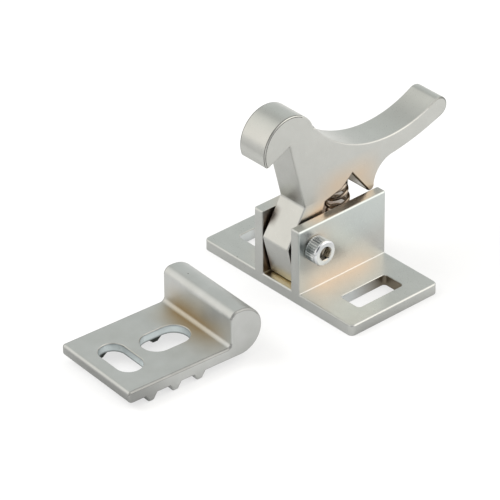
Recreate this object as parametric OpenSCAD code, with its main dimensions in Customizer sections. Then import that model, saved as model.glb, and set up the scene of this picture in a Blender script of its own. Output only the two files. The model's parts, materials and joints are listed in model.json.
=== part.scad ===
// Elbow catch: a flanged bracket carries a sprung hook lever on a cap-screw pivot,
// and a lipped strike lies in front of it.
// Origin at the centre of the bracket's underside, X along the lever, Z up, in millimetres.

/* [Base bracket] */
// Length of the base, along the lever
base_l = 25; // [23:0.5:34]
// Width of the base, across the lever
base_w = 46.4; // [42:0.2:60]
// Thickness of the base plate
base_t = 2.6; // [2:0.1:4]
// Radius of the base plate's corners in plan
base_corner_r = 1.2; // [0.4:0.1:3]
// Thickness of each ear
ear_t = 2.6; // [2:0.1:3.4]
// Height of the ears above the base plate
ear_h = 15.4; // [14.5:0.1:17]
// Clear width of the channel between the ears
ear_gap = 8.8; // [7.6:0.1:11]
// Length of each screw slot in the base
base_slot_l = 12.8; // [8:0.1:18]
// Width of each screw slot in the base
base_slot_w = 5.7; // [4.5:0.1:7]
// Corner radius of the screw slots in the base
base_slot_r = 0.8; // [0.3:0.1:2]
// Web between a screw slot and the edge of the base
base_slot_margin = 4.3; // [2.5:0.1:6]

/* [Pivot] */
// Distance of the pivot from the front end of the base
pivot_inset = 4.35; // [3.8:0.05:6]
// Height of the pivot above the channel floor
pivot_h = 10.1; // [9.5:0.1:11.5]
// Diameter of the pivot screw's shank
screw_d = 3.5; // [2.5:0.1:4]
// Diameter of the pivot screw's head
screw_head_d = 5.75; // [5:0.05:7]
// Height of the pivot screw's head
screw_head_h = 3.5; // [2.5:0.1:4]
// Chamfer round the face of the pivot screw's head
screw_head_chamfer = 0.3; // [0.1:0.05:0.6]
// Width of the hex socket across its flats
socket_af = 2.8; // [2:0.1:3]
// Depth of the hex socket
socket_depth = 1.7; // [1:0.1:2]

/* [Hook lever] */
// Lean of the lever's front face from upright, at rest
lever_lean = 14.3; // [10:0.1:18]
// Distance of the front face behind the pivot
front_setback = 2.2; // [1:0.05:3]
// Height of the hook's centre above the pivot, along the lever
hook_h = 25; // [22:0.1:30]
// Radius of the hook's round head
hook_r = 7; // [6:0.1:8]
// Droop of the hook's catching face towards its tip
hook_droop = 11; // [0:0.5:15]
// Radius of the hook's tip
hook_tip_r = 0.7; // [0.3:0.1:1.5]
// Reach of the knuckle's toe in front of the pivot
toe_reach = 4.8; // [4.2:0.05:5.5]
// Height of the toe above the pivot, along the lever
toe_h = 0.8; // [0:0.1:1.5]
// Distance of the knuckle's back behind the pivot
knuckle_back = 4.4; // [3.5:0.1:5]
// Radius of the heel that stops the lever on the channel floor
heel_r = 0.8; // [0.3:0.1:1.5]
// Radius of the knuckle's lower back corner
knuckle_back_r = 3; // [2:0.1:4]

/* [Thumb tail] */
// Radius of the hollow that the thumb presses
saddle_r = 27.4; // [25:0.1:30]
// Reach of the hollow's lowest point behind the pivot
saddle_reach = 34.65; // [33:0.05:37]
// Height of the hollow's lowest point above the pivot, along the lever
saddle_h = 8.5; // [7.5:0.1:9.5]
// Thickness of the tail below the hollow
tail_t = 4.4; // [3.5:0.1:5]
// Radius of the tail's underside
tail_under_r = 58.5; // [50:0.5:80]
// Reach of the tail's rounded end behind the pivot
tail_reach = 41.9; // [40:0.05:46]
// Reach of the throat's nearest point behind the pivot
foot_reach = 20.6; // [20:0.1:22]
// Depth of the foot below the pivot, along the lever
foot_drop = 0.3; // [0:0.1:2]
// Radius of the foot's end
foot_r = 1.1; // [0.4:0.05:1.5]
// Radius of the throat between the foot and the tail
throat_r = 6; // [4:0.1:8]

/* [Spring] */
// Outer diameter of the spring
spring_d = 5.7; // [5:0.1:6.4]
// Diameter of the spring's wire
wire_d = 0.9; // [0.6:0.05:1.2]
// Number of turns, with the closed turn at each end
spring_turns = 9.5; // [7:0.5:11]
// Reach of the spring's upper end behind the pivot
spring_reach = 13.6; // [12.8:0.1:14.2]
// Reach of the lever's neck behind the pivot, at the spring seat
neck_reach = 7.6; // [6.5:0.1:8.5]
// Height of the spring seat above the pivot, along the lever
seat_h = 5.5; // [4.8:0.1:6]
// Height of the notch behind the spring seat
notch_rise = 1.7; // [1:0.1:2.2]
// Depth of the spring's pocket in the channel floor
pocket_depth = 0.8; // [0.4:0.1:1.2]

/* [Strike] */
// Length of the strike, lip included
strike_l = 34.3; // [32:0.1:40]
// Width of the strike
strike_w = 23; // [18:0.5:30]
// Height of the strike, from the tips of its ridges to the top of its lip
strike_h = 12.5; // [11:0.1:15]
// Thickness of the strike's plate
plate_t = 2.8; // [2:0.1:4]
// Thickness of the strike's lip
lip_t = 8; // [7:0.1:9]
// Radius of the lip's upper inner corner
lip_corner_r = 1.8; // [0.5:0.1:2.5]
// Radius of the fillet between plate and lip
lip_fillet_r = 1; // [0.5:0.1:2]
// Radius of the plate's lower front corner
plate_corner_r = 1; // [0.4:0.1:1.5]
// Length of the cross slot, across the strike
cross_slot_l = 11.6; // [9:0.1:16]
// Width of the cross slot
cross_slot_w = 6.1; // [4.5:0.1:7]
// Distance of the cross slot's centre from the strike's front edge
cross_slot_inset = 6.5; // [5:0.1:7]
// Length of the long slot, along the strike
long_slot_l = 11.4; // [9:0.1:13]
// Width of the long slot
long_slot_w = 7.2; // [5:0.1:9]
// Distance of the long slot's centre from the strike's front edge
long_slot_inset = 17.9; // [17.5:0.1:19]
// Number of ridges under the plate
ridge_count = 3; // [2:1:4]
// Spacing of the ridges
ridge_pitch = 6.2; // [5:0.1:6.5]
// Distance of the first ridge from the strike's front edge
ridge_inset = 5.7; // [4:0.1:7]
// Height of the ridges
ridge_h = 1.5; // [0.8:0.1:2]
// Width of a ridge where it leaves the plate
ridge_w = 3.2; // [2.4:0.1:4]
// Width of a ridge at its tip
ridge_tip_w = 1.2; // [0.6:0.1:2]
// Depth of the hollow under the plate
hollow_depth = 0.7; // [0.3:0.1:1]
// Height of the ridges in the hollow
hollow_ridge_h = 0.9; // [0.4:0.1:1.2]
// Width of the rim beside the hollow
hollow_rim = 4; // [2.5:0.1:5]

/* [Layout and clearances] */
// Free space between the strike and the base
strike_gap = 16.5; // [10:0.5:40]
// Offset of the strike across the lever
strike_offset = -2; // [-10:0.5:10]
// Turn of the strike about the upright axis
strike_turn = -3.5; // [-15:0.5:15]
// Gap between the lever and each ear
side_gap = 0.5; // [0.2:0.05:1]
// Radial running clearance of the lever on the pivot
pivot_play = 0.05; // [0.02:0.01:0.1]
// Radial clearance of the pivot screw in the ears
screw_play = 0.04; // [0.02:0.01:0.2]
// Gap between the heel and the channel floor at rest
rest_gap = 0.1; // [0.05:0.05:0.3]
// Gap at each end of the spring
spring_gap = 0.1; // [0.05:0.05:0.3]
// Radial clearance of the spring in its pocket
pocket_play = 0.3; // [0.1:0.05:0.6]
// Gap between the spring and the slope of the foot
slope_gap = 0.3; // [0.2:0.05:0.6]

/* [Hidden] */
$fn = 96;
ARC_FN = 360;         // segments of the lever's long arcs
HEX = 6;              // sides of the socket
DOWN = 270;           // direction of the front face below the hook, in degrees
CUT = 1;              // overrun of a cutting solid past the face it cuts
BITE = 0.01;          // bite of a round into the arc that it touches, so that their edges cross
WIRE_SIDES = 10;      // sides of the spring wire's section
TURN_STEPS = 28;      // rings along one turn of the spring
CLOSED_PITCH = 1.1;   // pitch of the closed end turns, in wire diameters

channel_floor = base_t;
pivot_x = pivot_inset - base_l / 2;
pivot_z = channel_floor + pivot_h;
ear_y = ear_gap / 2 + ear_t / 2;
lever_w = ear_gap - 2 * side_gap;
screw_l = ear_gap + 2 * ear_t;
screw_face_d = screw_head_d - 2 * screw_head_chamfer;
base_slot_y = base_w / 2 - base_slot_margin - base_slot_w / 2;

// Points of the lever's profile, from the pivot, with y along the front face
hook_c = [front_setback, hook_h];
hook_tip_a = 180 + hook_droop;
hook_tip_turn = asin(hook_tip_r / (hook_r - hook_tip_r));
slope_top = toe_h + toe_reach + front_setback;
saddle_c = [saddle_reach, saddle_h + saddle_r];
tail_under_c = [saddle_reach, saddle_h - tail_t + tail_under_r];
tail_end_c = [tail_reach, touch_low(saddle_c, saddle_r, tail_under_c, tail_under_r, tail_reach)];
tail_end_r = norm(tail_end_c - saddle_c) - saddle_r;
throat_x = foot_reach + throat_r;
throat_c = [throat_x, arc_low(tail_under_c, tail_under_r + throat_r, throat_x)];
seat_end = spring_reach - spring_d / 2 + 2 * wire_d;
slope_x = spring_reach + spring_d / 2 + slope_gap;
foot_z = foot_r - foot_drop;
foot_c = [throat_x - sqrt(throat_r * throat_r - pow(foot_z - throat_c[1], 2)) - foot_r, foot_z];
slope_foot = foot_c - [foot_r, 0];
slope_run = (slope_foot[0] - slope_x) / (seat_h - slope_foot[1]);
notch_peak = [slope_x - notch_rise * slope_run, seat_h + notch_rise];
heel_c_drop = pivot_h - rest_gap - heel_r;
heel_drop = (heel_c_drop - (toe_reach - heel_r) * sin(lever_lean)) / cos(lever_lean) + heel_r;

// Spring axis: an arc, square to the channel floor below and to the lever's seat above
seat_c = on_lever([spring_reach, seat_h]);
pocket_floor = channel_floor - pocket_depth;
spring_low = pocket_floor + spring_gap;
spring_rise = seat_c[1] - spring_gap * cos(lever_lean) - spring_low;
spring_bend_r = spring_rise / sin(lever_lean);
spring_x = seat_c[0] + spring_gap * sin(lever_lean) + spring_bend_r * (1 - cos(lever_lean));
spring_l = spring_bend_r * lever_lean * PI / 180;
coil_r = (spring_d - wire_d) / 2;
pocket_d = spring_d + 2 * pocket_play;

// Strike, along its own length from the middle
strike_x = -base_l / 2 - strike_gap - strike_l / 2;
strike_front = -strike_l / 2;
lip_r = (strike_h - ridge_h) / 2;
lip_inner = strike_l / 2 - lip_t;
lip_c = [strike_l / 2 - lip_r, ridge_h + lip_r];
plate_top = ridge_h + plate_t;
hollow_top = ridge_h + hollow_depth;
hollow_front = strike_front + ridge_inset - ridge_pitch / 2;

// Lower height of a circle at a given x
function arc_low(c, r, x) = c[1] - sqrt(r * r - (x - c[0]) * (x - c[0]));

// Height of the centre, at a given x, of the circle between two arcs that touches both of them,
// where circle a lies above the tail and circle b holds it
function touch_low(a_c, a_r, b_c, b_r, x) =
    let (half_sum = (a_r + b_r) / 2, half_gap = (b_c[1] - a_c[1]) / 2, run = x - a_c[0])
    (a_c[1] + b_c[1]) / 2
    - half_sum * sqrt(1 - run * run / (half_sum * half_sum - half_gap * half_gap));

// Place of a profile point of the lever at rest, as [x, z]
function on_lever(p) = [
    pivot_x + p[0] * cos(lever_lean) - p[1] * sin(lever_lean),
    pivot_z + p[0] * sin(lever_lean) + p[1] * cos(lever_lean)
];

function polar(c, r, a) = c + r * [cos(a), sin(a)];

// Point at distance r from a, on the line to b
function touch_point(a, b, r) = a + r * (b - a) / norm(b - a);

// Rectangle about the origin with round corners
module rounded_rect(l, w, r) {
    square([l - 2 * r, w], center = true);
    square([l, w - 2 * r], center = true);
    for (x = [-1, 1], y = [-1, 1])
        translate([x * (l / 2 - r), y * (w / 2 - r)]) circle(r);
}

// Slot about the origin with full round ends, along x
module round_slot(l, w) {
    square([l - w, w], center = true);
    for (x = [-1, 1]) translate([x * (l - w) / 2, 0]) circle(d = w);
}

module at_pivot() {
    translate([pivot_x, 0, pivot_z]) children();
}

// Bracket: flanged plate, two ears, screw slots, pivot hole and spring pocket
module base_bracket() {
    color("silver") difference() {
        union() {
            linear_extrude(base_t) difference() {
                rounded_rect(base_l, base_w, base_corner_r);
                for (s = [-1, 1]) translate([0, s * base_slot_y])
                    rounded_rect(base_slot_l, base_slot_w, base_slot_r);
            }
            for (s = [-1, 1]) translate([0, s * ear_y, 0])
                linear_extrude(base_t + ear_h) square([base_l, ear_t], center = true);
        }
        at_pivot() rotate([90, 0, 0])
            cylinder(h = screw_l + 2 * CUT, d = screw_d + 2 * screw_play, center = true);
        translate([spring_x, 0, pocket_floor]) cylinder(h = pocket_depth + CUT, d = pocket_d);
    }
}

// Cap screw: head against the near ear, shank through both ears and the lever
module pivot_screw() {
    color("gainsboro") at_pivot() rotate([90, 0, 0]) difference() {
        union() {
            translate([0, 0, -screw_l / 2]) cylinder(h = screw_l, d = screw_d);
            translate([0, 0, screw_l / 2]) cylinder(h = screw_head_h - screw_head_chamfer, d = screw_head_d);
            translate([0, 0, screw_l / 2 + screw_head_h - screw_head_chamfer])
                cylinder(h = screw_head_chamfer, d1 = screw_head_d, d2 = screw_face_d);
        }
        translate([0, 0, screw_l / 2 + screw_head_h - socket_depth])
            cylinder(h = socket_depth + CUT, d = socket_af / cos(180 / HEX), $fn = HEX);
    }
}

// Round head of the hook, with its catching face cut and its tip rounded
module hook_head() {
    flat_run = (hook_r - hook_tip_r) * cos(hook_tip_turn);
    far = 2 * hook_r;
    difference() {
        translate(hook_c) circle(hook_r);
        polygon([
            hook_c,
            polar(hook_c, far, hook_tip_a),
            polar(hook_c, far, (hook_tip_a + DOWN) / 2),
            polar(hook_c, far, DOWN)
        ]);
        polygon([
            polar(hook_c, flat_run, hook_tip_a),
            polar(hook_c, far, hook_tip_a),
            polar(hook_c, far, hook_tip_a - hook_tip_turn),
            polar(hook_c, hook_r, hook_tip_a - hook_tip_turn)
        ]);
    }
    translate(polar(hook_c, hook_r - hook_tip_r, hook_tip_a - hook_tip_turn)) circle(hook_tip_r + BITE);
}

// Knuckle round the pivot: sloped toe in front, heel below
module knuckle() {
    polygon([
        [heel_r - toe_reach, -heel_drop],
        [knuckle_back - knuckle_back_r, -heel_drop],
        [knuckle_back, knuckle_back_r - heel_drop],
        [knuckle_back, 0],
        [neck_reach, seat_h],
        [front_setback, slope_top],
        [-toe_reach, toe_h],
        [-toe_reach, heel_r - heel_drop]
    ]);
    translate([heel_r - toe_reach, heel_r - heel_drop]) circle(heel_r);
    translate([knuckle_back - knuckle_back_r, knuckle_back_r - heel_drop]) circle(knuckle_back_r);
}

// Web from the front face to the foot, with the notch over the spring
module web() {
    polygon([
        hook_c,
        [front_setback, toe_h],
        [neck_reach, seat_h],
        [seat_end, seat_h],
        notch_peak,
        slope_foot,
        foot_c,
        [foot_c[0], hook_h]
    ]);
    translate(foot_c) circle(foot_r);
}

// Tail under the hollow, with the throat that joins it to the foot
module tail() {
    throat_end = touch_point(throat_c, tail_under_c, throat_r);
    over_end = touch_point(saddle_c, tail_end_c, saddle_r);
    under_end = touch_point(tail_under_c, tail_end_c, tail_under_r);
    difference() {
        union() {
            intersection() {
                polygon([
                    [foot_c[0], foot_z],
                    [under_end[0], foot_z],
                    under_end,
                    over_end,
                    [over_end[0], hook_h],
                    [foot_c[0], hook_h]
                ]);
                translate(tail_under_c) circle(tail_under_r, $fn = ARC_FN);
            }
            translate(foot_c) square([throat_end[0] - foot_c[0], saddle_h - foot_z]);
        }
        translate(throat_c) circle(throat_r + BITE);
    }
    translate(tail_end_c) circle(tail_end_r + BITE);
}

module lever_profile() {
    difference() {
        union() {
            knuckle();
            web();
            tail();
        }
        translate(saddle_c) circle(saddle_r, $fn = ARC_FN);
        circle(d = screw_d + 2 * pivot_play);
    }
    hook_head();
}

// Lever: one profile across its full width, leaning at rest on its heel
module hook_lever() {
    color("lightgray") at_pivot() rotate([0, -lever_lean, 0]) rotate([90, 0, 0])
        linear_extrude(lever_w, center = true) lever_profile();
}

// Height along the spring's wire axis after a number of turns
function coil_rise(n) =
    let (closed = CLOSED_PITCH * wire_d, free = spring_l - wire_d - 2 * closed)
    n < 1 ? closed * n
    : n > spring_turns - 1 ? spring_l - wire_d - closed * (spring_turns - n)
    : closed + free * (n - 1) / (spring_turns - 2);

// Ring of the spring's wire after a number of turns
function coil_ring(n) =
    let (
        s = wire_d / 2 + coil_rise(n),
        bend = s / spring_bend_r * 180 / PI,
        out = [cos(bend), 0, sin(bend)],
        along = [-sin(bend), 0, cos(bend)],
        axis = [spring_x - spring_bend_r * (1 - cos(bend)), 0, spring_low + spring_bend_r * sin(bend)],
        radial = cos(360 * n) * out + sin(360 * n) * [0, 1, 0]
    )
    [for (k = [0 : WIRE_SIDES - 1])
        let (a = 360 * k / WIRE_SIDES)
        axis + (coil_r + wire_d / 2 * cos(a)) * radial + wire_d / 2 * sin(a) * along];

// Spring: a coil on an arc, with a closed turn at each end
module return_spring() {
    rings = ceil(spring_turns * TURN_STEPS);
    points = [for (i = [0 : rings]) each coil_ring(i * spring_turns / rings)];
    sides = [for (i = [0 : rings - 1], k = [0 : WIRE_SIDES - 1])
        let (a = i * WIRE_SIDES, j = (k + 1) % WIRE_SIDES)
        [a + k, a + j, a + WIRE_SIDES + j, a + WIRE_SIDES + k]];
    ends = [
        [for (k = [0 : WIRE_SIDES - 1]) WIRE_SIDES - 1 - k],
        [for (k = [0 : WIRE_SIDES - 1]) rings * WIRE_SIDES + k]
    ];
    color("dimgray") polyhedron(points, concat(sides, ends), convexity = 10);
}

// Side of the strike: ridged plate and round-backed lip
module strike_profile() {
    difference() {
        union() {
            translate([strike_front, ridge_h + plate_corner_r])
                square([lip_c[0] - strike_front, plate_t - plate_corner_r]);
            translate([strike_front + plate_corner_r, ridge_h])
                square([lip_c[0] - strike_front - plate_corner_r, plate_t]);
            translate([strike_front + plate_corner_r, ridge_h + plate_corner_r]) circle(plate_corner_r);
            translate([lip_inner - lip_fillet_r, plate_top]) square(lip_fillet_r);
        }
        translate([lip_inner - lip_fillet_r, plate_top + lip_fillet_r]) circle(lip_fillet_r);
    }
    translate([lip_inner, ridge_h]) square([lip_c[0] - lip_inner, strike_h - ridge_h - lip_corner_r]);
    translate([lip_inner + lip_corner_r, ridge_h])
        square([lip_c[0] - lip_inner - lip_corner_r, strike_h - ridge_h]);
    translate([lip_inner + lip_corner_r, strike_h - lip_corner_r]) circle(lip_corner_r);
    intersection() {
        translate(lip_c) circle(lip_r);
        translate([lip_c[0], ridge_h]) square([lip_r, 2 * lip_r]);
    }
    ridges(ridge_h, ridge_h);
}

// Ridges that hang from a given height
module ridges(root, h) {
    for (i = [0 : ridge_count - 1]) translate([strike_front + ridge_inset + i * ridge_pitch, root])
        polygon([
            [-ridge_tip_w / 2, -h],
            [ridge_tip_w / 2, -h],
            [ridge_w / 2, 0],
            [-ridge_w / 2, 0]
        ]);
}

// Hollow under the plate, with low ridges left in it
module hollow_profile() {
    difference() {
        translate([hollow_front, -CUT]) square([lip_inner - hollow_front, hollow_top + CUT]);
        ridges(hollow_top, hollow_ridge_h);
    }
}

// Strike: one profile across its width, hollow beneath, with a cross slot and a long slot
module strike() {
    color("darkgray") translate([strike_x, strike_offset, 0]) rotate([0, 0, strike_turn]) difference() {
        rotate([90, 0, 0]) linear_extrude(strike_w, center = true) strike_profile();
        rotate([90, 0, 0]) linear_extrude(strike_w - 2 * hollow_rim, center = true) hollow_profile();
        translate([strike_front, 0, -CUT]) linear_extrude(plate_top + 2 * CUT) {
            translate([cross_slot_inset, 0]) rotate(90) round_slot(cross_slot_l, cross_slot_w);
            translate([long_slot_inset, 0]) round_slot(long_slot_l, long_slot_w);
        }
    }
}

base_bracket();
pivot_screw();
hook_lever();
return_spring();
strike();
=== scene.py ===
import json
import math

import bmesh
import bpy
from mathutils import Matrix, Vector


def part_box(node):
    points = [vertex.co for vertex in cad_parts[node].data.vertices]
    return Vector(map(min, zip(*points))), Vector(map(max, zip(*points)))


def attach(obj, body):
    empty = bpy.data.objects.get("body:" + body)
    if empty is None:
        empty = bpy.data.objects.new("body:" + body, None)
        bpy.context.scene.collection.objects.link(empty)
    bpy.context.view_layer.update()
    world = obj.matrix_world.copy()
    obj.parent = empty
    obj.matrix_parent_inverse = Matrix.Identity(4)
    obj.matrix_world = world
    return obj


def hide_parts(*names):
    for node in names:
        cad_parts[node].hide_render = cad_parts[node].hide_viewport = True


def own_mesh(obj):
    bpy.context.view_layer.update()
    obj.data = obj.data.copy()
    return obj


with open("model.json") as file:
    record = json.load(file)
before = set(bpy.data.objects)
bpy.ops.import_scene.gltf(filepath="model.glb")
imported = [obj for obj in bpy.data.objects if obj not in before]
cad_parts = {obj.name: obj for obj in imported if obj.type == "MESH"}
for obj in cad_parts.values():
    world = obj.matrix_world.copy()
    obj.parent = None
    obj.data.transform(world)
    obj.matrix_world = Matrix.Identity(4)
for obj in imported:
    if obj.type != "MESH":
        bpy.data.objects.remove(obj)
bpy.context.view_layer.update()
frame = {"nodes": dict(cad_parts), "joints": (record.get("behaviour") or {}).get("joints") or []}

MM = 0.001

# Rounds on the edges of the castings, and what counts as an edge or as flat
BRACKET_EDGE = 0.42 * MM
LEVER_EDGE = 0.36 * MM
STRIKE_EDGE = 0.45 * MM
STRIKE_FRONT_EDGE = 0.85 * MM
SLOT_EDGE = 0.22 * MM
UNDER_EDGE = 0.12 * MM
EDGE_STEPS = 4
SHARP_ANGLE = math.radians(25)
FLAT_ANGLE = math.radians(0.5)
FLAT_WEIGHT = 100
WELD = 1e-7

# Levels and places on the castings, and the slack with which a point is tested against them
SLACK = 0.1 * MM
BRACKET_TOP = 2.6 * MM
BRACKET_EARS = 7.0 * MM
BRACKET_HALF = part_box("base_bracket")[1]
STRIKE_TOP = 4.3 * MM
STRIKE_UNDER = 2.2 * MM
STRIKE_LIP = 8.0 * MM
RIM_WIDTH = 2.0 * MM
HOOK_R = 7.0 * MM
HOOK_REACH = 2.2 * MM
HOOK_HEIGHT = 25.0 * MM
DARK_LINE_END = 7.0 * MM
TAIL_END = 39.6 * MM
NOTCH_REACH = (8.2 * MM, 20.2 * MM)
NOTCH_HEIGHT = (-0.4 * MM, 7.8 * MM)

# Ends and sides of the strike in its own directions
STRIKE_TURN = math.radians(3.5)
STRIKE_SQUARE = Matrix.Rotation(STRIKE_TURN, 3, "Z")
strike_points = [STRIKE_SQUARE @ v.co for v in frame["nodes"]["strike"].data.vertices]
STRIKE_FRONT = min(p.x for p in strike_points)
STRIKE_BACK = max(p.x for p in strike_points)
STRIKE_NEAR = min(p.y for p in strike_points)
STRIKE_FAR = max(p.y for p in strike_points)

# Parts of normals by which single faces are told apart
WALL_LEAN = 0.5
DARK_LINE_OUTER = (0.05, 0.42)
DARK_LINE_INNER = (0.9, 0.995)
TAIL_RIM = (0.4, 0.995)
ROUND_LEAN = (0.05, 0.99)
ROUND_RISE = 0.1
SOCKET_LIT = 0.7

# Lever at rest
PIVOT = next(Vector(joint["pos_m"]) for joint in frame["joints"] if joint["name"] == "lever_pivot")
LEVER_LEAN = math.radians(14.3)

# Cap screw, along its axis from the outside of the near ear
EAR_FACE_Y = -7.0 * MM
SCREW_END_Y = 7.0 * MM
SHANK_R = 1.75 * MM
HEAD_R = 2.875 * MM
HEAD_H = 3.5 * MM
HEAD_TOP_Y = EAR_FACE_Y - HEAD_H
HEAD_CHAMFER = 0.3 * MM
HEAD_UNDERCUT = 0.2 * MM
KNURLS = 32
KNURL_COLUMNS = 4
KNURL_DEPTH = 0.2 * MM
KNURL_MARGIN = 0.35 * MM
SCREW_COLUMNS = KNURLS * KNURL_COLUMNS
SCREW_ANGLES = [2 * math.pi * k / SCREW_COLUMNS for k in range(SCREW_COLUMNS)]
SOCKET_AF = 2.8 * MM
SOCKET_CORNER = SOCKET_AF / math.sqrt(3)
SOCKET_DEPTH = 1.7 * MM
SOCKET_LEAD = 0.15 * MM
SOCKET_CONE = 0.5 * MM
CONE_CUT = 0.5
END_CHAMFER = 0.25 * MM

# Coil spring between the pocket's floor and the lever's seat
SPRING_D = 5.7 * MM
WIRE_D = 0.9 * MM
SPRING_TURNS = 9.5
SPRING_LOW = 1.9 * MM
SPRING_GAP = 0.1 * MM
SEAT_REACH = 13.6 * MM
SEAT_H = 5.5 * MM
CLOSED_PITCH = 1.1 * WIRE_D
WIRE_SIDES = 14
WIRE_SHARP = math.radians(60)
TURN_STEPS = 48

# Camera, fitted to the view: angles in degrees, places in metres
CAM_AZIMUTH = -41.70
CAM_ELEVATION = 32.70
CAM_ROLL = -0.3855
CAM_LENS = 288
CAM_CLIP = 10 * MM
CAM_DISTANCE = 853.36 * MM
CAM_RIGHT = -14.9229 * MM
CAM_UP = 4.3585 * MM

# Ground: what it scatters and gives off by itself, to the camera and to reflections
FLOOR_SIZE = 3.0
FLOOR_DROP = 0.05 * MM
FLOOR_ALBEDO = 0.36
FLOOR_GLOW = 0.64
MIRRORED_ALBEDO = 0.58
MIRRORED_GLOW = 0.27

# Painted shade on the ground that only reflections see: share of its brightness at places along a
# direction, in tenths of a metre
FALLOFF_TOWARDS = (10, 3, 0)
FALLOFF = [
    (-0.95, 0.85),
    (-0.7, 0.5),
    (-0.64, 0.5),
    (-0.54, 1.0),
    (-0.3, 0.93),
    (-0.14, 0.74),
    (0.0, 0.9),
    (0.12, 1.0),
]

# Studio tent: colours at places along X from -1 to 1, on its back and front, and how far they blend
BACK_TENT = [
    (-0.75, (1.24, 1.2, 1.14)),
    (-0.16, (1.08, 1.08, 1.03)),
    (0.22, (0.6, 0.61, 0.59)),
    (0.56, (0.76, 0.79, 0.77)),
    (0.9, (0.8, 0.82, 0.81)),
]
FRONT_TENT = [
    (-0.5, (0.8, 0.8, 0.8)),
    (0.1, (1.0, 0.98, 0.95)),
    (0.5, (1.94, 1.88, 1.78)),
    (0.95, (1.3, 1.27, 1.22)),
]
TENT_BLEND = 0.3
WHITE = (1, 1, 1, 1)

# Dark opening in the tent: its direction, how near to it the dark begins and is full, its colour
DARK_TOWARDS = (-0.56, -0.63, 0.54)
DARK_FROM = 0.86
DARK_FULL = 0.97
DARK_COLOUR = (0.16, 0.16, 0.17)

# Key lamp
KEY_FROM = Vector((-0.45, 0.5, 0.74))
KEY_SPREAD = math.radians(35)
KEY_POWER = 1.3

# Detail of the metals: scales are per metre
NOISE_SPAN = (0.3, 0.7)
CLOUD_SCALE = 260
CLOUD_DETAIL = 4.0
GRAIN_SCALE = 5200
GRAIN_DETAIL = 3.0
GRAIN_DEPTH = 0.02 * MM
# Reach and depth of the recess mask, which lays painted shade and painted reflections in corners
RECESS_REACH = 8 * MM
RECESS_FULL = 0.5
RECESS_SAMPLES = 16
PIT_SCALE = 160
PIT_EDGE = 0.034
PIT_FULL = 0.016
PIT_COLOUR = (0.2, 0.2, 0.18)

# Roughness of the metals, lowest and highest
BRIGHT = (0.1, 0.18)
DRAWN = (0.12, 0.2)
SATIN = (0.27, 0.35)
PUNCHED = (0.3, 0.4)
DULL = (0.35, 0.45)
WORN = (0.4, 0.5)

# Zones of the tints: along each axis a zone starts, is full, is full to, and ends, in millimetres
EVERYWHERE = {}
BRACKET_CORNERS = {"Z": (2.3, 2.6, 20, 23), "X": (-13, -6, 5, 12)}
EAR_FACE = {"Z": (8, 13, 30, 31), "Y": (-7.3, -7.2, -6.8, -6.6)}
CHANNEL = {"Y": (-4.6, -4.4, 4.4, 4.6), "X": (-12.3, -12, 12, 12.3)}
CHANNEL_FLOOR = {"Z": (2.3, 2.5, 2.7, 2.9), **CHANNEL}
CHANNEL_WALLS = {"Z": (2.7, 2.9, 16, 18), **CHANNEL}
LEVER_CORNERS = {"Z": (-6, -5, 24, 28), "X": (-8, -4, 20, 21)}
NOTCH_HALO = {"Z": (14, 18, 23, 28), "X": (-6, 1, 8, 14)}
FRONT_FOOT = {"Z": (20.9, 21.2, 22, 28), "X": (-31, -30, -6, -4)}
KNUCKLE_SIDE = {"X": (-31, -30, -9, -8), "Y": (1.6, 3.2, 4.4, 4.6), "Z": (14.6, 16.2, 18, 19)}
STRIKE_CORNER = {"Z": (4, 4.3, 8, 13), "Y": (-13, -4, 4, 10)}
HEAD_SIDE = {
    "X": (-31, -30, PIVOT.x / MM - 1, PIVOT.x / MM + 1),
    "Y": (-9.4, -8.4, -7, -6.9),
    "Z": (0, 1, PIVOT.z / MM + 1, PIVOT.z / MM + 2.4),
}

# Colours of the tints, all painted reflections and painted shade
# Painted reflection: warm light that the bracket's faces throw on one another, laid in its corners
BRACKET_CORNER_REFLECTION = (0.71, 0.63, 0.545)
# Painted reflection: a cooler, lighter tone over the whole outer face of the near ear
EAR_FACE_REFLECTION = (0.61, 0.65, 0.635)
# Painted reflection: warm yellow over the floor of the channel between the ears
CHANNEL_FLOOR_REFLECTION = (0.78, 0.66, 0.42)
# Painted shade: dark brown in the recesses of the channel's walls
CHANNEL_WALL_SHADE = (0.36, 0.27, 0.21)
# Painted reflection: warm light in a halo round the notch and in the lever's corners
LEVER_REFLECTION = (0.67, 0.555, 0.435)
# Painted reflection: the knuckle seen dark in the corner at the foot of the lever's front
LEVER_FOOT_REFLECTION = (0.16, 0.17, 0.155)
# Painted reflection: the far ear's dark inner face, seen in the knuckle's far side
KNUCKLE_REFLECTION = (0.15, 0.125, 0.105)
# Painted reflection: warm light in the corner between the strike's plate and its lip
STRIKE_CORNER_REFLECTION = (0.45, 0.345, 0.19)
# Painted shade: darker grey in the screw's knurls, socket and other recesses
SCREW_RECESS_SHADE = (0.42, 0.43, 0.43)
# Painted shade: dark over the head's side, below its top and towards the bracket's front end
SCREW_SIDE_SHADE = (0.2, 0.23, 0.23)
# Painted shade: dark brown between the spring's turns
SPRING_COIL_SHADE = (0.36, 0.29, 0.225)

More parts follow.
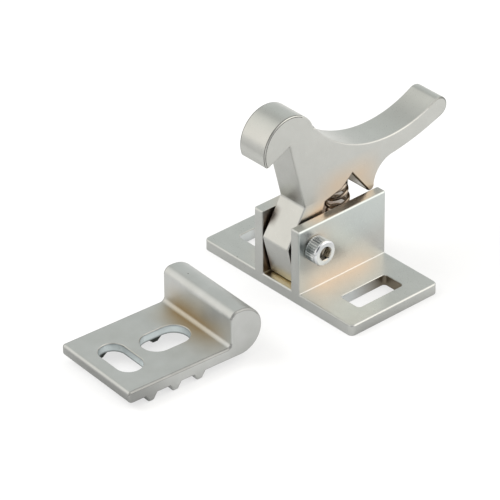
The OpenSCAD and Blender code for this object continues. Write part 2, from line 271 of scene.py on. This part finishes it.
# Tints of each metal, which paint reflections and shade: a colour, a zone, and its share there, or None
# where it shows in recesses alone
BRACKET_TINTS = [
    (EAR_FACE_REFLECTION, EAR_FACE, 1),
    (BRACKET_CORNER_REFLECTION, BRACKET_CORNERS, None),
    (CHANNEL_FLOOR_REFLECTION, CHANNEL_FLOOR, 0.9),
    (CHANNEL_WALL_SHADE, CHANNEL_WALLS, None),
]
LEVER_TINTS = [
    (LEVER_REFLECTION, NOTCH_HALO, 0.95),
    (LEVER_REFLECTION, LEVER_CORNERS, None),
    (LEVER_FOOT_REFLECTION, FRONT_FOOT, None),
    (KNUCKLE_REFLECTION, KNUCKLE_SIDE, 0.8),
]
STRIKE_TINTS = [(STRIKE_CORNER_REFLECTION, STRIKE_CORNER, None)]
SCREW_TINTS = [
    (SCREW_RECESS_SHADE, EVERYWHERE, None),
    (SCREW_SIDE_SHADE, HEAD_SIDE, 0.85),
]
SPRING_TINTS = [(SPRING_COIL_SHADE, EVERYWHERE, None)]


# Pieces: what they have in common

def new_object(name, data):
    """An object for a mesh, lamp or camera, in the scene."""
    obj = bpy.data.objects.new(name, data)
    bpy.context.scene.collection.objects.link(obj)
    return obj


def finish_mesh(bm, name, sharp=None):
    """A smooth-shaded object from a bmesh; edges over the sharp angle stay hard if it is given."""
    bmesh.ops.recalc_face_normals(bm, faces=bm.faces)
    for face in bm.faces:
        face.smooth = True
    if sharp is not None:
        for edge in bm.edges:
            edge.smooth = edge.calc_face_angle(math.pi) < sharp
    mesh = bpy.data.meshes.new(name)
    bm.to_mesh(mesh)
    bm.free()
    return new_object(name, mesh)


def skin(bm, loops):
    """Closed skin over a row of loops of vertices."""
    for low, high in zip(loops, loops[1:]):
        for k in range(len(low)):
            bm.faces.new((low[k - 1], low[k], high[k], high[k - 1]))
    bm.faces.new(loops[0])
    bm.faces.new(loops[-1])


def place(obj, body, node, material):
    """Puts a finished piece in the part: its body, the node it stands for and its looks."""
    obj.data.materials.append(material)
    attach(obj, body)
    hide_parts(node)
    return obj


def repaint(obj, material, test):
    """Gives another material to the faces that pass a test."""
    obj.data.materials.append(material)
    for face in obj.data.polygons:
        if test(face):
            face.material_index = len(obj.data.materials) - 1


# Castings: the solids' own shape, with every edge rounded

def casting(node, name, radius_of):
    """The node's shape with rounded edges; radius_of gives each edge its radius."""
    bm = bmesh.new()
    bm.from_mesh(frame["nodes"][node].data)
    bmesh.ops.remove_doubles(bm, verts=bm.verts, dist=WELD)
    bmesh.ops.dissolve_limit(bm, angle_limit=FLAT_ANGLE, verts=bm.verts, edges=bm.edges)
    weight = bm.edges.layers.float.new("bevel_weight_edge")
    sharp = [edge for edge in bm.edges if edge.calc_face_angle(0) > SHARP_ANGLE]
    widest = max(radius_of(edge) for edge in sharp)
    for edge in sharp:
        edge[weight] = radius_of(edge) / widest
    return rounded(finish_mesh(bm, name), widest)


def rounded(obj, widest):
    """The object with its weighted edges rounded and its flat faces shaded flat, in its mesh."""
    bevel = obj.modifiers.new("edge rounds", "BEVEL")
    bevel.limit_method = "WEIGHT"
    bevel.offset_type = "OFFSET"
    bevel.width = widest
    bevel.segments = EDGE_STEPS
    bevel.use_clamp_overlap = False
    obj.modifiers.new("flat faces", "WEIGHTED_NORMAL").weight = FLAT_WEIGHT
    graph = bpy.context.evaluated_depsgraph_get()
    obj.data = bpy.data.meshes.new_from_object(obj.evaluated_get(graph))
    obj.modifiers.clear()
    return obj


def below(edge, level):
    """Whether an edge lies wholly below a level."""
    return all(v.co.z < level for v in edge.verts)


def in_bracket_slots(point):
    """Whether a point of the bracket's plate lies among its slots."""
    along = abs(point.x) < BRACKET_HALF.x - RIM_WIDTH
    across = BRACKET_EARS + RIM_WIDTH < abs(point.y) < BRACKET_HALF.y - RIM_WIDTH
    return along and across and point.z < BRACKET_TOP + SLACK


def in_strike_slots(point):
    """Whether a point of the strike's plate lies among its slots."""
    x, y, z = STRIKE_SQUARE @ point
    along = STRIKE_FRONT + RIM_WIDTH < x < STRIKE_BACK - STRIKE_LIP
    across = STRIKE_NEAR + RIM_WIDTH < y < STRIKE_FAR - RIM_WIDTH
    return along and across and z < STRIKE_TOP + SLACK


def bracket_edge(edge):
    """Radius of an edge of the bracket."""
    if below(edge, SLACK):
        return UNDER_EDGE
    return SLOT_EDGE if all(in_bracket_slots(v.co) for v in edge.verts) else BRACKET_EDGE


def lever_edge(edge):
    """Radius of an edge of the lever, the same for all."""
    return LEVER_EDGE


def strike_edge(edge):
    """Radius of an edge of the strike."""
    ends = [STRIKE_SQUARE @ v.co for v in edge.verts]
    if all(p.x < STRIKE_FRONT + SLACK and p.z > STRIKE_TOP - SLACK for p in ends):
        return STRIKE_FRONT_EDGE
    if all(p.y < STRIKE_NEAR + SLACK for p in ends) or all(p.y > STRIKE_FAR - SLACK for p in ends):
        return STRIKE_EDGE
    if below(edge, STRIKE_UNDER + SLACK):
        return UNDER_EDGE
    return SLOT_EDGE if all(in_strike_slots(v.co) for v in edge.verts) else STRIKE_EDGE


# Faces that get a material of their own, which paints shade and reflections on them

def in_lever(point):
    """A point's reach behind the pivot, its place along the pivot and its height above it."""
    return Matrix.Rotation(LEVER_LEAN, 3, "Y") @ (point - PIVOT)


def bracket_wall(face):
    """Whether a face is a wall of one of the bracket's slots, which gets a painted shade."""
    return in_bracket_slots(face.center) and abs(face.normal.z) < WALL_LEAN


def strike_wall(face):
    """Whether a face is a wall of one of the strike's slots, which gets a painted shadow at its foot."""
    high = STRIKE_UNDER < face.center.z < STRIKE_TOP
    return high and in_strike_slots(face.center) and abs(face.normal.z) < WALL_LEAN


def strike_round(face):
    """Whether a face lies on the upward rounds along the strike's sides, which get a painted shade."""
    across = abs((STRIKE_SQUARE @ face.normal).y)
    at = (STRIKE_SQUARE @ face.center).y
    side = at < STRIKE_NEAR + STRIKE_EDGE or at > STRIKE_FAR - STRIKE_EDGE
    return side and ROUND_LEAN[0] < across < ROUND_LEAN[1] and face.normal.z > ROUND_RISE


def turned_rim(face):
    """Whether a face is one of the two fine lines of the hook's turned rim, painted dark as shade."""
    reach, _, height = in_lever(face.center)
    from_axis = math.hypot(reach - HOOK_REACH, height - HOOK_HEIGHT)
    lean = abs(face.normal.y)
    on_hook = HOOK_R - LEVER_EDGE < from_axis < HOOK_R and reach < DARK_LINE_END
    outer = DARK_LINE_OUTER[0] < lean < DARK_LINE_OUTER[1]
    inner = DARK_LINE_INNER[0] < lean < DARK_LINE_INNER[1]
    return on_hook and (outer or inner)


def tail_rim(face):
    """Whether a face lies on the rim of the tail's round end, which gets a painted shade."""
    lean = abs(face.normal.y)
    return in_lever(face.center).x > TAIL_END and TAIL_RIM[0] < lean < TAIL_RIM[1]


def in_notch(face):
    """Whether a face lies round the notch over the spring."""
    reach, _, height = in_lever(face.center)
    return NOTCH_REACH[0] < reach < NOTCH_REACH[1] and NOTCH_HEIGHT[0] < height < NOTCH_HEIGHT[1]


def notch_rim(face):
    """Whether a face lies on the notch's rounded rim, which gets a painted dark line of shade."""
    return in_notch(face) and DARK_LINE_OUTER[0] < abs(face.normal.y) < DARK_LINE_INNER[1]


def notch_wall(face):
    """Whether a face is a wall of the notch, which gets a painted reflection."""
    return in_notch(face) and abs(face.normal.y) <= DARK_LINE_OUTER[0]


def socket_wall(face):
    """Whether a face lies in the screw's socket, apart from the wall that faces up; these faces get a
    painted shade.
    """
    out = (face.center - PIVOT) * Vector((1, 0, 1))
    deep = HEAD_TOP_Y < face.center.y < EAR_FACE_Y
    return deep and out.length < SOCKET_CORNER and face.normal.z < SOCKET_LIT


# Cap screw: one turned and knurled mesh with a hex socket

def hex_radius(angle):
    """Distance from the axis to the wall of the socket."""
    part = (angle % (math.pi / 3)) - math.pi / 6
    return SOCKET_AF / 2 / math.cos(part)


def knurl(column):
    """Share of the knurl's depth at a column round the head."""
    return abs(2 * (column % KNURL_COLUMNS) / KNURL_COLUMNS - 1)


def round_ring(y, r):
    """Round ring of the screw: its place along Y, and its radius at each column."""
    return y, [r] * SCREW_COLUMNS


def knurled_ring(y):
    """Ring of the screw's head with the knurl's grooves."""
    return y, [HEAD_R - KNURL_DEPTH * knurl(k) for k in range(SCREW_COLUMNS)]


def hex_ring(y, scale=1.0):
    """Ring of the screw's socket."""
    return y, [scale * hex_radius(a) for a in SCREW_ANGLES]


def shank_rings():
    """Rings of the shank, from its far end to the head."""
    return [
        round_ring(SCREW_END_Y, SHANK_R - END_CHAMFER),
        round_ring(SCREW_END_Y - END_CHAMFER, SHANK_R),
        round_ring(EAR_FACE_Y, SHANK_R),
    ]


def head_rings():
    """Rings of the head, from the ear to its flat top."""
    return [
        round_ring(EAR_FACE_Y, HEAD_R - HEAD_UNDERCUT),
        round_ring(EAR_FACE_Y - HEAD_UNDERCUT, HEAD_R),
        round_ring(EAR_FACE_Y - KNURL_MARGIN, HEAD_R),
        knurled_ring(EAR_FACE_Y - KNURL_MARGIN - KNURL_DEPTH),
        knurled_ring(HEAD_TOP_Y + HEAD_CHAMFER + KNURL_MARGIN + KNURL_DEPTH),
        round_ring(HEAD_TOP_Y + HEAD_CHAMFER + KNURL_MARGIN, HEAD_R),
        round_ring(HEAD_TOP_Y + HEAD_CHAMFER, HEAD_R),
        round_ring(HEAD_TOP_Y + HEAD_CHAMFER / 3, HEAD_R - HEAD_CHAMFER / 2),
        round_ring(HEAD_TOP_Y, HEAD_R - HEAD_CHAMFER),
    ]


def socket_rings():
    """Rings of the hex socket, from its mouth to its blunt cone."""
    floor_y = HEAD_TOP_Y + SOCKET_DEPTH
    return [
        round_ring(HEAD_TOP_Y, SOCKET_CORNER + SOCKET_LEAD / 2),
        hex_ring(HEAD_TOP_Y + SOCKET_LEAD),
        hex_ring(floor_y),
        hex_ring(floor_y + CONE_CUT * SOCKET_CONE, 1 - CONE_CUT),
    ]


def cap_screw():
    """The screw's mesh, on the pivot."""
    bm = bmesh.new()
    loops = []
    for y, radii in shank_rings() + head_rings() + socket_rings():
        loops.append([
            bm.verts.new((PIVOT.x + r * math.cos(a), y, PIVOT.z + r * math.sin(a)))
            for a, r in zip(SCREW_ANGLES, radii)])
    skin(bm, loops)
    return finish_mesh(bm, "cap_screw", SHARP_ANGLE)


# Coil spring: a round wire on an arc, square to the floor below and to the lever's seat above

def on_lever(reach, height):
    """Place of a point of the lever at rest, from its reach behind the pivot and height above it."""
    lean = Matrix.Rotation(-LEVER_LEAN, 3, "Y")
    return PIVOT + lean @ Vector((reach, 0, height))


def coil_rise(turn, length):
    """Height along the axis after a number of turns, with a closed turn at each end."""
    free = length - WIRE_D - 2 * CLOSED_PITCH
    if turn < 1:
        return CLOSED_PITCH * turn
    if turn > SPRING_TURNS - 1:
        return length - WIRE_D - CLOSED_PITCH * (SPRING_TURNS - turn)
    return CLOSED_PITCH + free * (turn - 1) / (SPRING_TURNS - 2)


def wire_ring(bm, axis, radial, along):
    """Ring of vertices round the wire, from a point of the coil's axis and the ways out and along."""
    coil_r = (SPRING_D - WIRE_D) / 2
    ring = []
    for k in range(WIRE_SIDES):
        a = 2 * math.pi * k / WIRE_SIDES
        reach = coil_r + WIRE_D / 2 * math.cos(a)
        ring.append(bm.verts.new(axis + reach * radial + WIRE_D / 2 * math.sin(a) * along))
    return ring


def coil_spring():
    """The spring's mesh."""
    seat = on_lever(SEAT_REACH, SEAT_H - SPRING_GAP)
    bend_r = (seat.z - SPRING_LOW) / math.sin(LEVER_LEAN)
    foot = Vector((seat.x + bend_r * (1 - math.cos(LEVER_LEAN)), 0, SPRING_LOW))
    length = bend_r * LEVER_LEAN
    steps = round(SPRING_TURNS * TURN_STEPS)
    bm = bmesh.new()
    rings = []
    for i in range(steps + 1):
        turn = i * SPRING_TURNS / steps
        bend = (WIRE_D / 2 + coil_rise(turn, length)) / bend_r
        out = Vector((math.cos(bend), 0, math.sin(bend)))
        along = Vector((-math.sin(bend), 0, math.cos(bend)))
        axis = foot + bend_r * Vector((math.cos(bend) - 1, 0, math.sin(bend)))
        around = 2 * math.pi * turn
        radial = math.cos(around) * out + math.sin(around) * Vector((0, 1, 0))
        rings.append(wire_ring(bm, axis, radial, along))
    skin(bm, rings)
    return finish_mesh(bm, "coil_spring", WIRE_SHARP)


# Shader nodes: each function adds to a node tree and returns the socket of its result

def noise(tree, coords, scale, detail):
    """Noise of a given scale per metre."""
    texture = tree.nodes.new("ShaderNodeTexNoise")
    texture.inputs["Scale"].default_value = scale
    texture.inputs["Detail"].default_value = detail
    tree.links.new(coords.outputs["Object"], texture.inputs["Vector"])
    return texture.outputs["Fac"]


def map_range(tree, value, from_low, from_high, to_low=0, to_high=1, kind="LINEAR"):
    """A value taken from one range to another, and held at its ends."""
    node = tree.nodes.new("ShaderNodeMapRange")
    node.interpolation_type = kind
    node.inputs["From Min"].default_value = from_low
    node.inputs["From Max"].default_value = from_high
    node.inputs["To Min"].default_value = to_low
    node.inputs["To Max"].default_value = to_high
    tree.links.new(value, node.inputs["Value"])
    return node.outputs["Result"]


def combined(tree, operation, a, b):
    """Two values put together by a math operation."""
    node = tree.nodes.new("ShaderNodeMath")
    node.operation = operation
    tree.links.new(a, node.inputs[0])
    tree.links.new(b, node.inputs[1])
    return node.outputs["Value"]


def times(tree, a, b):
    """Product of two values."""
    return combined(tree, "MULTIPLY", a, b)


def maximum(tree, a, b):
    """Larger of two values."""
    return combined(tree, "MAXIMUM", a, b)


def reach_along(tree, vector, direction):
    """How far a vector reaches along a direction."""
    node = tree.nodes.new("ShaderNodeVectorMath")
    node.operation = "DOT_PRODUCT"
    node.inputs[1].default_value = direction
    tree.links.new(vector, node.inputs[0])
    return node.outputs["Value"]


def blended(tree, share, first, second):
    """Colour between two colours, each given as numbers or linked from a socket."""
    mix = tree.nodes.new("ShaderNodeMix")
    mix.data_type = "RGBA"
    tree.links.new(share, mix.inputs["Factor"])
    for name, colour in (("A", first), ("B", second)):
        if isinstance(colour, tuple):
            mix.inputs[name].default_value = (*colour, 1)
        else:
            tree.links.new(colour, mix.inputs[name])
    return mix.outputs["Result"]


def ramp(tree, value, stops):
    """Colour ramp over a value from -1 to 1."""
    node = tree.nodes.new("ShaderNodeValToRGB")
    elements = node.color_ramp.elements
    while len(elements) < len(stops):
        elements.new(0.5)
    for element, (position, colour) in zip(elements, stops):
        element.position = (position + 1) / 2
        element.color = (*colour, 1)
    tree.links.new(map_range(tree, value, -1, 1), node.inputs["Fac"])
    return node.outputs["Color"]


def within(tree, coords, zone):
    """1 in a zone and 0 outside it."""
    axes = tree.nodes.new("ShaderNodeSeparateXYZ")
    tree.links.new(coords.outputs["Object"], axes.inputs["Vector"])
    share = None
    for axis, limits in zone.items():
        start, full, full_to, stop = (limit * MM for limit in limits)
        rising = map_range(tree, axes.outputs[axis], start, full)
        falling = map_range(tree, axes.outputs[axis], stop, full_to)
        inside = times(tree, rising, falling)
        share = inside if share is None else times(tree, share, inside)
    return share


def recess(tree, coords, zone):
    """How deep a place lies between neighbouring faces, from 0 to 1, within a zone: it lays painted
    shade and painted reflections in corners.
    """
    outlook = tree.nodes.new("ShaderNodeAmbientOcclusion")
    outlook.samples = RECESS_SAMPLES
    outlook.inputs["Distance"].default_value = RECESS_REACH
    blocked = map_range(tree, outlook.outputs["AO"], 1, RECESS_FULL)
    return times(tree, blocked, within(tree, coords, zone)) if zone else blocked


def pits(tree, coords):
    """Sparse small pits, 1 in a pit and 0 elsewhere."""
    cells = tree.nodes.new("ShaderNodeTexVoronoi")
    cells.inputs["Scale"].default_value = PIT_SCALE
    tree.links.new(coords.outputs["Object"], cells.inputs["Vector"])
    return map_range(tree, cells.outputs["Distance"], PIT_EDGE, PIT_FULL)


def tone(tree, coords, first, second, along):
    """Cloudy colour between two tones, or a fade from one to the other along an axis, in millimetres, by
    which walls and rims are painted into shade.
    """
    if along:
        axis, start, stop = along
        share = within(tree, coords, {axis: (start, stop, stop + 1, stop + 2)})
    else:
        clouds = noise(tree, coords, CLOUD_SCALE, CLOUD_DETAIL)
        share = map_range(tree, clouds, *NOISE_SPAN)
    return blended(tree, share, first, second)


def tinted(tree, coords, colour, tints):
    """A colour with tints over it, which paint reflections and shade."""
    for tint, zone, most in tints:
        if most is None:
            share = recess(tree, coords, zone)
        else:
            share = map_range(tree, within(tree, coords, zone), 0, 1, 0, most)
        colour = blended(tree, share, colour, tint)
    return colour


# Materials

def new_material(name):
    """A material with nodes."""
    material = bpy.data.materials.new(name)
    material.use_nodes = True
    return material


def metal(name, first, second, rough, grain, tints=(), along=None):
    """Plated metal between two tones, with tints of painted reflection and painted shade, sparse pits
    and satin grain.
    """
    material = new_material(name)
    tree = material.node_tree
    shader = tree.nodes["Principled BSDF"]
    shader.inputs["Metallic"].default_value = 1.0
    coords = tree.nodes.new("ShaderNodeTexCoord")
    colour = tinted(tree, coords, tone(tree, coords, first, second, along), tints)
    colour = blended(tree, pits(tree, coords), colour, PIT_COLOUR)
    fine = noise(tree, coords, GRAIN_SCALE, GRAIN_DETAIL)
    bump = tree.nodes.new("ShaderNodeBump")
    bump.inputs["Strength"].default_value = grain
    bump.inputs["Distance"].default_value = GRAIN_DEPTH
    tree.links.new(fine, bump.inputs["Height"])
    tree.links.new(colour, shader.inputs["Base Color"])
    tree.links.new(map_range(tree, fine, *NOISE_SPAN, *rough), shader.inputs["Roughness"])
    tree.links.new(bump.outputs["Normal"], shader.inputs["Normal"])
    return material


def mirrored_fade(tree, mirrored):
    """Share of the ground's brightness that a ray sees: all of it, or in reflections the falloff's
    painted shade.
    """
    coords = tree.nodes.new("ShaderNodeTexCoord")
    place_along = reach_along(tree, coords.outputs["Object"], FALLOFF_TOWARDS)
    greys = [(position, (level, level, level)) for position, level in FALLOFF]
    share = ramp(tree, place_along, greys)
    blend = tree.nodes.new("ShaderNodeMix")
    blend.inputs["A"].default_value = 1
    tree.links.new(mirrored, blend.inputs["Factor"])
    tree.links.new(share, blend.inputs["B"])
    return blend.outputs["Result"]


def floor_material():
    """White ground that keeps the object's shadow; the camera sees it lit to white, and reflections see
    it with a painted shade along the falloff.
    """
    material = new_material("ground")
    tree = material.node_tree
    tree.nodes.clear()
    path = tree.nodes.new("ShaderNodeLightPath")
    mirrored = maximum(tree, path.outputs["Is Glossy Ray"], path.outputs["Is Transmission Ray"])
    shown = maximum(tree, mirrored, path.outputs["Is Camera Ray"])
    fade = mirrored_fade(tree, mirrored)
    albedo = map_range(tree, mirrored, 0, 1, FLOOR_ALBEDO, MIRRORED_ALBEDO)
    level = map_range(tree, mirrored, 0, 1, FLOOR_GLOW, MIRRORED_GLOW)
    diffuse = tree.nodes.new("ShaderNodeBsdfDiffuse")
    glow = tree.nodes.new("ShaderNodeEmission")
    tree.links.new(times(tree, albedo, fade), diffuse.inputs["Color"])
    tree.links.new(times(tree, times(tree, level, shown), fade), glow.inputs["Strength"])
    add = tree.nodes.new("ShaderNodeAddShader")
    out = tree.nodes.new("ShaderNodeOutputMaterial")
    tree.links.new(diffuse.outputs["BSDF"], add.inputs[0])
    tree.links.new(glow.outputs["Emission"], add.inputs[1])
    tree.links.new(add.outputs["Shader"], out.inputs["Surface"])
    return material


# Stage: camera, ground, tent and lamp

def camera():
    """Camera at the photograph's viewing angle."""
    azimuth, elevation, roll = (math.radians(a) for a in (CAM_AZIMUTH, CAM_ELEVATION, CAM_ROLL))
    back = Vector((
        math.sin(azimuth) * math.cos(elevation),
        -math.cos(azimuth) * math.cos(elevation),
        math.sin(elevation)))
    level = Vector((math.cos(azimuth), math.sin(azimuth), 0))
    rise = back.cross(level)
    right = math.cos(roll) * level + math.sin(roll) * rise
    up = back.cross(right)
    data = bpy.data.cameras.new("camera")
    data.lens = CAM_LENS
    data.clip_start = CAM_CLIP
    obj = new_object("camera", data)
    turn = Matrix((right, up, back)).transposed()
    where = back * CAM_DISTANCE + right * CAM_RIGHT + up * CAM_UP
    obj.matrix_world = Matrix.Translation(where) @ turn.to_4x4()
    bpy.context.scene.camera = obj


def floor():
    """Ground just under the part."""
    mesh = bpy.data.meshes.new("ground")
    half = FLOOR_SIZE / 2
    corners = [(-half, -half), (half, -half), (half, half), (-half, half)]
    mesh.from_pydata([(x, y, -FLOOR_DROP) for x, y in corners], [], [(0, 1, 2, 3)])
    obj = new_object("ground", mesh)
    mesh.materials.append(floor_material())


def tent_light(tree, direction):
    """Colour of the tent in a direction."""
    axes = tree.nodes.new("ShaderNodeSeparateXYZ")
    tree.links.new(direction, axes.inputs["Vector"])
    front = ramp(tree, axes.outputs["X"], FRONT_TENT)
    back = ramp(tree, axes.outputs["X"], BACK_TENT)
    side = map_range(tree, axes.outputs["Y"], -TENT_BLEND, TENT_BLEND)
    tent = blended(tree, side, front, back)
    towards = reach_along(tree, direction, DARK_TOWARDS)
    near = map_range(tree, towards, DARK_FROM, DARK_FULL, kind="SMOOTHSTEP")
    return blended(tree, near, tent, DARK_COLOUR)


def studio_world():
    """World that is white to the camera and a soft tent to everything else."""
    world = bpy.data.worlds.new("studio")
    bpy.context.scene.world = world
    world.use_nodes = True
    tree = world.node_tree
    tree.nodes.clear()
    coords = tree.nodes.new("ShaderNodeTexCoord")
    light = tree.nodes.new("ShaderNodeBackground")
    tree.links.new(tent_light(tree, coords.outputs["Generated"]), light.inputs["Color"])
    white = tree.nodes.new("ShaderNodeBackground")
    white.inputs["Color"].default_value = WHITE
    path = tree.nodes.new("ShaderNodeLightPath")
    mix = tree.nodes.new("ShaderNodeMixShader")
    out = tree.nodes.new("ShaderNodeOutputWorld")
    tree.links.new(path.outputs["Is Camera Ray"], mix.inputs["Fac"])
    tree.links.new(light.outputs["Background"], mix.inputs[1])
    tree.links.new(white.outputs["Background"], mix.inputs[2])
    tree.links.new(mix.outputs["Shader"], out.inputs["Surface"])


def key_lamp():
    """Soft lamp behind and to the left: it gives the ground its shadows, out of the reflections."""
    lamp = bpy.data.lights.new("key", "SUN")
    lamp.angle = KEY_SPREAD
    lamp.energy = KEY_POWER
    obj = new_object("key", lamp)
    obj.matrix_world = KEY_FROM.to_track_quat("Z", "Y").to_matrix().to_4x4()
    obj.visible_glossy = False


camera()
floor()
studio_world()
key_lamp()
bpy.context.scene.view_settings.view_transform = "Standard"

# Metals of whole pieces
bracket_metal = metal(
    "satin_plate_bracket", first=(0.555, 0.565, 0.545), second=(0.595, 0.605, 0.585),
    rough=SATIN, grain=0.12, tints=BRACKET_TINTS)
lever_metal = metal(
    "satin_plate_lever", first=(0.555, 0.56, 0.535), second=(0.59, 0.595, 0.57),
    rough=SATIN, grain=0.12, tints=LEVER_TINTS)
strike_metal = metal(
    "satin_plate_strike", first=(0.55, 0.56, 0.545), second=(0.6, 0.61, 0.6),
    rough=DULL, grain=0.15, tints=STRIKE_TINTS)
screw_metal = metal(
    "bright_screw", first=(0.7, 0.72, 0.74), second=(0.78, 0.8, 0.82),
    rough=BRIGHT, grain=0.05, tints=SCREW_TINTS)
spring_metal = metal(
    "spring_wire", first=(0.5, 0.46, 0.41), second=(0.62, 0.57, 0.51),
    rough=DRAWN, grain=0.05, tints=SPRING_TINTS)

# Metals of single faces: painted shade and painted reflections on walls, rims and rounds
# Painted shade: the socket's walls that don't face up are brown and dark
socket_shade_metal = metal(
    "screw_socket_painted_shade", first=(0.41, 0.38, 0.33), second=(0.56, 0.53, 0.47), rough=BRIGHT, grain=0.1)
# The punched walls of the strike's slots: a pale tone, partly their own and partly a painted reflection,
# and a painted shadow along their foot
strike_wall_shadow_metal = metal(
    "punched_wall_strike_painted_shadow", first=(0.05, 0.055, 0.05), second=(0.8, 0.87, 0.88),
    rough=DULL, grain=0.2, along=("Z", 2.2, 2.7))
# The punched walls of the bracket's slots: pale, and painted into dark brown shade towards their +X ends
bracket_wall_shade_metal = metal(
    "punched_wall_bracket_painted_shade", first=(0.8, 0.83, 0.83), second=(0.28, 0.24, 0.18),
    rough=PUNCHED, grain=0.2, along=("X", -3, 5.5))
# Painted reflection: the notch's walls lighter than the rest of the lever
notch_wall_reflection_metal = metal(
    "notch_wall", first=(0.66, 0.64, 0.6), second=(0.78, 0.77, 0.73), rough=SATIN, grain=0.12)
# Painted shade: a dark brown line along the notch's rounded rim
notch_rim_shade_metal = metal(
    "notch_rim", first=(0.1, 0.08, 0.055), second=(0.15, 0.12, 0.09), rough=PUNCHED, grain=0.12)
# Painted shade: a darker tone on the upward rounds of the strike's sides, which dims their highlight
round_shade_metal = metal(
    "strike_round_painted_shade", first=(0.36, 0.365, 0.355), second=(0.42, 0.425, 0.415),
    rough=WORN, grain=0.15)
# Painted shade: the rim of the tail's round end, darker towards the end
tail_rim_shade_metal = metal(
    "tail_rim_painted_shade", first=(0.5, 0.505, 0.48), second=(0.2, 0.205, 0.195),
    rough=DULL, grain=0.2, along=("X", 29.4, 31.6))
# Painted shade: two fine dark lines along the hook's turned rim
hook_rim_shade_metal = metal(
    "hook_rim_painted_shade", first=(0.06, 0.058, 0.052), second=(0.1, 0.096, 0.088), rough=WORN, grain=0.2)

bracket = place(casting("base_bracket", "bracket_casting", bracket_edge),
                "bracket", "base_bracket", bracket_metal)
repaint(bracket, bracket_wall_shade_metal, bracket_wall)

lever = place(casting("hook_lever", "lever_casting", lever_edge),
              "lever", "hook_lever", lever_metal)
repaint(lever, hook_rim_shade_metal, turned_rim)
repaint(lever, tail_rim_shade_metal, tail_rim)
repaint(lever, notch_wall_reflection_metal, notch_wall)
repaint(lever, notch_rim_shade_metal, notch_rim)

strike = place(casting("strike", "strike_casting", strike_edge),
               "strike_body", "strike", strike_metal)
repaint(strike, strike_wall_shadow_metal, strike_wall)
repaint(strike, round_shade_metal, strike_round)

screw = place(cap_screw(), "bracket", "pivot_screw", screw_metal)
repaint(screw, socket_shade_metal, socket_wall)

spring = place(coil_spring(), "bracket", "return_spring", spring_metal)
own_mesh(spring)
